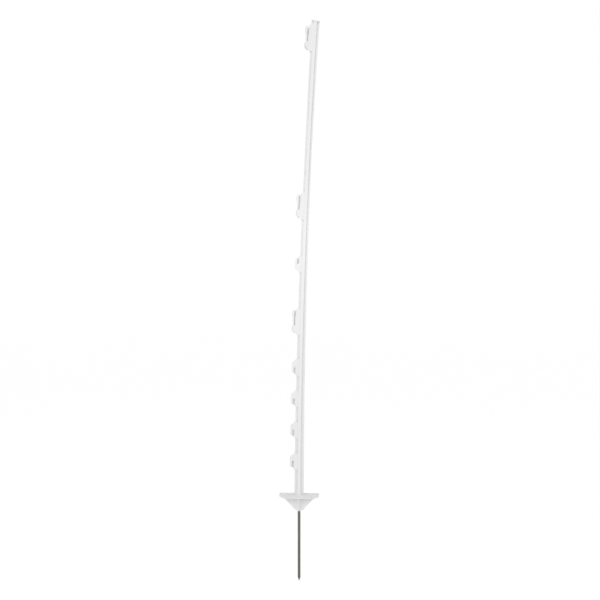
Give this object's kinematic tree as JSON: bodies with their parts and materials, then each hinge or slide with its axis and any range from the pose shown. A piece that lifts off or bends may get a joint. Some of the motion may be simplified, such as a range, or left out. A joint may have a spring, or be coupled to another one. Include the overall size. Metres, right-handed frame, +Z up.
{
  "type": "step-in fence post",
  "caption": "White moulded plastic post with lugs for fence wire and tape, a tread for a boot, and a steel spike that is pushed into the ground.",
  "frame": {"origin": "on the spike's axis, at the underside of the socket where the spike leaves the moulding", "axes": "+Z up along the spike's axis, -X the side that the lugs point to, Y the direction of the fence wires"},
  "size_m": [0.1132, 0.046, 1.5627],
  "materials": {
    "white_plastic": "white moulded plastic with a soft satin surface",
    "spike_steel": "dull drawn spring steel, dark grey with a slight olive cast"
  },
  "bodies": {
    "root": {"moulded_post": "white_plastic", "ground_spike": "spike_steel"}
  },
  "joints": []
}
